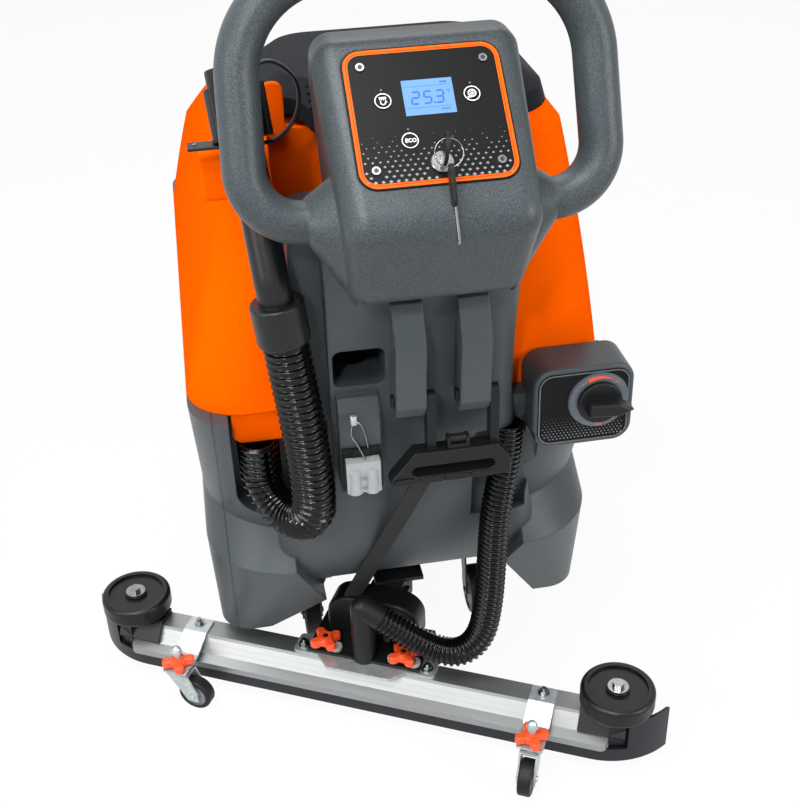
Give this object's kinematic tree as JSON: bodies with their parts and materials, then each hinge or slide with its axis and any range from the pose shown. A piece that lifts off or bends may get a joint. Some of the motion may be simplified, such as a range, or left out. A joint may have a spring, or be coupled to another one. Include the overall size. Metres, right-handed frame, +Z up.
{
  "type": "floor scrubber dryer",
  "caption": "Walk-behind floor scrubber dryer with a loop handle, tilted control panel, orange recovery tank, ribbed hoses, pad deck and a swinging squeegee on rollers and casters.",
  "frame": {"origin": "bottom centre of the machine's box, measured without the three free hoses", "axes": "+X to the machine's right, +Y to its front, +Z up"},
  "size_m": [0.7528, 1.1632, 1.0595],
  "materials": {
    "grey_shell": "pebbled",
    "orange_tank": "pebbled",
    "dark_lid": "pebbled",
    "panel_film": "satin",
    "display_glass": "lit",
    "button_cap": "satin",
    "key_metal": "bright",
    "key_black": "satin",
    "black_plastic": "satin",
    "hose_black": "gloss",
    "webbing": "woven",
    "connector_grey": "satin",
    "wire": "braided",
    "zinc_steel": "zinc plated",
    "aluminium": "satin",
    "black_steel": "satin",
    "tyre": "matt",
    "blade_rubber": "matt",
    "star_knob": "satin",
    "clear_rubber": "translucent",
    "pad": "felted",
    "battery_case": "satin",
    "screw": "bright"
  },
  "bodies": {
    "base": {"lower_body": "grey_shell", "console": "grey_shell", "control_panel": "panel_film", "panel_screws": "screw", "display": "display_glass", "key_bezel": "key_metal", "valve_panel": "black_plastic", "connector_bracket": "black_steel", "battery_connector": "connector_grey", "lanyard": "wire", "recovery_tank": "orange_tank", "drain_tube": "black_plastic", "drain_hose": "hose_black", "suction_hose_upper": "hose_black", "chassis_frame": "black_steel", "gear_motor": "black_steel", "batteries": "battery_case", "vacuum_motor": "black_plastic", "lift_strap": "webbing"},
    "key": {"key": "key_black"},
    "spare_key": {"spare_key": "key_metal"},
    "valve_knob": {"valve_knob": "black_plastic"},
    "lever": {"lever": "black_plastic"},
    "tank_lid": {"tank_lid": "dark_lid"},
    "drain_cap": {"drain_cap": "black_plastic"},
    "deck": {"scrub_deck": "black_plastic", "deck_motor": "black_steel"},
    "pad": {"pad_driver": "black_plastic", "floor_pad": "pad"},
    "swing": {"swing_bracket": "black_steel"},
    "squeegee": {"squeegee_arm": "black_plastic", "mount_plate": "zinc_steel", "spigot": "black_plastic", "squeegee_beam": "aluminium", "squeegee_blades": "blade_rubber", "roller_brackets": "black_plastic", "caster_brackets": "zinc_steel", "squeegee_bolts": "screw", "knob_standoffs": "clear_rubber", "suction_hose_lower": "hose_black"},
    "brush_button": {"brush_button": "button_cap"},
    "suction_button": {"suction_button": "button_cap"},
    "eco_button": {"eco_button": "button_cap"},
    "left_drive_wheel": {"left_drive_wheel": "tyre"},
    "left_rear_fork": {"left_rear_fork": "zinc_steel"},
    "left_rear_wheel": {"left_rear_wheel": "tyre"},
    "left_roller": {"left_roller": "black_plastic"},
    "left_clamp_knob": {"left_clamp_knob": "star_knob"},
    "left_caster_knob": {"left_caster_knob": "star_knob"},
    "left_caster_fork": {"left_caster_fork": "zinc_steel"},
    "left_caster_wheel": {"left_caster_wheel": "tyre"},
    "right_drive_wheel": {"right_drive_wheel": "tyre"},
    "right_rear_fork": {"right_rear_fork": "zinc_steel"},
    "right_rear_wheel": {"right_rear_wheel": "tyre"},
    "right_roller": {"right_roller": "black_plastic"},
    "right_clamp_knob": {"right_clamp_knob": "star_knob"},
    "right_caster_knob": {"right_caster_knob": "star_knob"},
    "right_caster_fork": {"right_caster_fork": "zinc_steel"},
    "right_caster_wheel": {"right_caster_wheel": "tyre"}
  },
  "joints": [
    {"name": "key_turn", "type": "hinge", "parent": "base", "child": "key", "pos_m": [0.08247, -0.50351, 0.87161], "axis": [0, -0.6639, 0.7478], "range_deg": [0, 60]},
    {"name": "spare_key_swing", "type": "hinge", "parent": "key", "child": "spare_key", "pos_m": [0.08403, -0.52144, 0.90516], "axis": [0.9848, -0.1299, -0.1153], "range_deg": [-45, 0]},
    {"name": "brush_button_press", "type": "slide", "parent": "base", "child": "brush_button", "axis": [0, 0.6639, -0.7478], "range_m": [0, 0.0008], "stiffness_N_per_m": 800},
    {"name": "suction_button_press", "type": "slide", "parent": "base", "child": "suction_button", "axis": [0, 0.6639, -0.7478], "range_m": [0, 0.0008], "stiffness_N_per_m": 800},
    {"name": "eco_button_press", "type": "slide", "parent": "base", "child": "eco_button", "axis": [0, 0.6639, -0.7478], "range_m": [0, 0.0008], "stiffness_N_per_m": 800},
    {"name": "valve_turn", "type": "hinge", "parent": "base", "child": "valve_knob", "pos_m": [0.29547, -0.40338, 0.506], "axis": [0, -1, 0], "range_deg": [0, 120]},
    {"name": "lever_turn", "type": "hinge", "parent": "base", "child": "lever", "pos_m": [0.09447, -0.42538, 0.552], "axis": [-1, 0, 0], "range_deg": [0, 15], "deforming": ["lift_strap"]},
    {"name": "lid_hinge", "type": "hinge", "parent": "base", "child": "tank_lid", "pos_m": [0.08747, 0.02262, 0.842], "axis": [-1, 0, 0], "range_deg": [0, 80]},
    {"name": "drain_cap_turn", "type": "hinge", "parent": "base", "child": "drain_cap", "pos_m": [-0.10353, -0.34938, 0.858], "axis": [-0.0815, 0.3848, 0.9194], "range_deg": [0, 120]},
    {"name": "deck_lift", "type": "slide", "parent": "base", "child": "deck", "axis": [0, 0, 1], "range_m": [0, 0.035]},
    {"name": "pad_spin", "type": "hinge", "parent": "deck", "child": "pad", "pos_m": [0.06347, 0.31362, 0.12], "axis": [0, 0, 1], "continuous": true},
    {"name": "left_drive_wheel_spin", "type": "hinge", "parent": "base", "child": "left_drive_wheel", "pos_m": [-0.15253, -0.04638, 0.1], "axis": [1, 0, 0], "continuous": true},
    {"name": "left_rear_swivel", "type": "hinge", "parent": "base", "child": "left_rear_fork", "pos_m": [-0.06453, -0.16138, 0.124], "axis": [0, 0, 1], "continuous": true},
    {"name": "left_rear_wheel_spin", "type": "hinge", "parent": "left_rear_fork", "child": "left_rear_wheel", "pos_m": [-0.06453, -0.18538, 0.0375], "axis": [1, 0, 0], "continuous": true},
    {"name": "right_drive_wheel_spin", "type": "hinge", "parent": "base", "child": "right_drive_wheel", "pos_m": [0.27947, -0.04638, 0.1], "axis": [1, 0, 0], "continuous": true},
    {"name": "right_rear_swivel", "type": "hinge", "parent": "base", "child": "right_rear_fork", "pos_m": [0.19147, -0.16138, 0.124], "axis": [0, 0, 1], "continuous": true},
    {"name": "right_rear_wheel_spin", "type": "hinge", "parent": "right_rear_fork", "child": "right_rear_wheel", "pos_m": [0.19147, -0.18538, 0.0375], "axis": [1, 0, 0], "continuous": true},
    {"name": "squeegee_swing", "type": "hinge", "parent": "base", "child": "swing", "pos_m": [0.06347, -0.21838, 0.104], "axis": [0, 0, 1], "range_deg": [0, 55.2], "deforming": ["suction_hose_upper", "lift_strap"]},
    {"name": "squeegee_lift", "type": "hinge", "parent": "swing", "child": "squeegee", "pos_m": [0.04679, -0.25029, 0.104], "axis": [-0.8862, 0.4633, 0], "range_deg": [0, 9.5], "deforming": ["suction_hose_upper", "lift_strap"]},
    {"name": "left_roller_spin", "type": "hinge", "parent": "squeegee", "child": "left_roller", "pos_m": [-0.32105, -0.18549, 0.094], "axis": [0, 0, 1], "continuous": true},
    {"name": "left_clamp_knob_turn", "type": "hinge", "parent": "squeegee", "child": "left_clamp_knob", "pos_m": [-0.05696, -0.32355, 0.1], "axis": [0, 0, 1], "continuous": true},
    {"name": "left_caster_knob_turn", "type": "hinge", "parent": "squeegee", "child": "left_caster_knob", "pos_m": [-0.2676, -0.29694, 0.066], "axis": [0, 0, 1], "continuous": true},
    {"name": "left_caster_swivel", "type": "hinge", "parent": "squeegee", "child": "left_caster_fork", "pos_m": [-0.2676, -0.29694, 0.066], "axis": [0, 0, 1], "range_deg": [-191, 19]},
    {"name": "left_caster_wheel_spin", "type": "hinge", "parent": "left_caster_fork", "child": "left_caster_wheel", "pos_m": [-0.24716, -0.30951, 0.025], "axis": [0.524, 0.8517, 0], "continuous": true},
    {"name": "right_roller_spin", "type": "hinge", "parent": "squeegee", "child": "right_roller", "pos_m": [0.30993, -0.51536, 0.094], "axis": [0, 0, 1], "continuous": true},
    {"name": "right_clamp_knob_turn", "type": "hinge", "parent": "squeegee", "child": "right_clamp_knob", "pos_m": [0.04584, -0.3773, 0.1], "axis": [0, 0, 1], "continuous": true},
    {"name": "right_caster_knob_turn", "type": "hinge", "parent": "squeegee", "child": "right_caster_knob", "pos_m": [0.18791, -0.53507, 0.066], "axis": [0, 0, 1], "continuous": true},
    {"name": "right_caster_swivel", "type": "hinge", "parent": "squeegee", "child": "right_caster_fork", "pos_m": [0.18791, -0.53507, 0.066], "axis": [0, 0, 1], "range_deg": [-105, 105]},
    {"name": "right_caster_wheel_spin", "type": "hinge", "parent": "right_caster_fork", "child": "right_caster_wheel", "pos_m": [0.17679, -0.55634, 0.025], "axis": [0.8862, -0.4633, 0], "continuous": true}
  ],
  "couplings": [
    {"joint": "lever_turn", "follows": "squeegee_lift", "ratio": 1.5784}
  ]
}
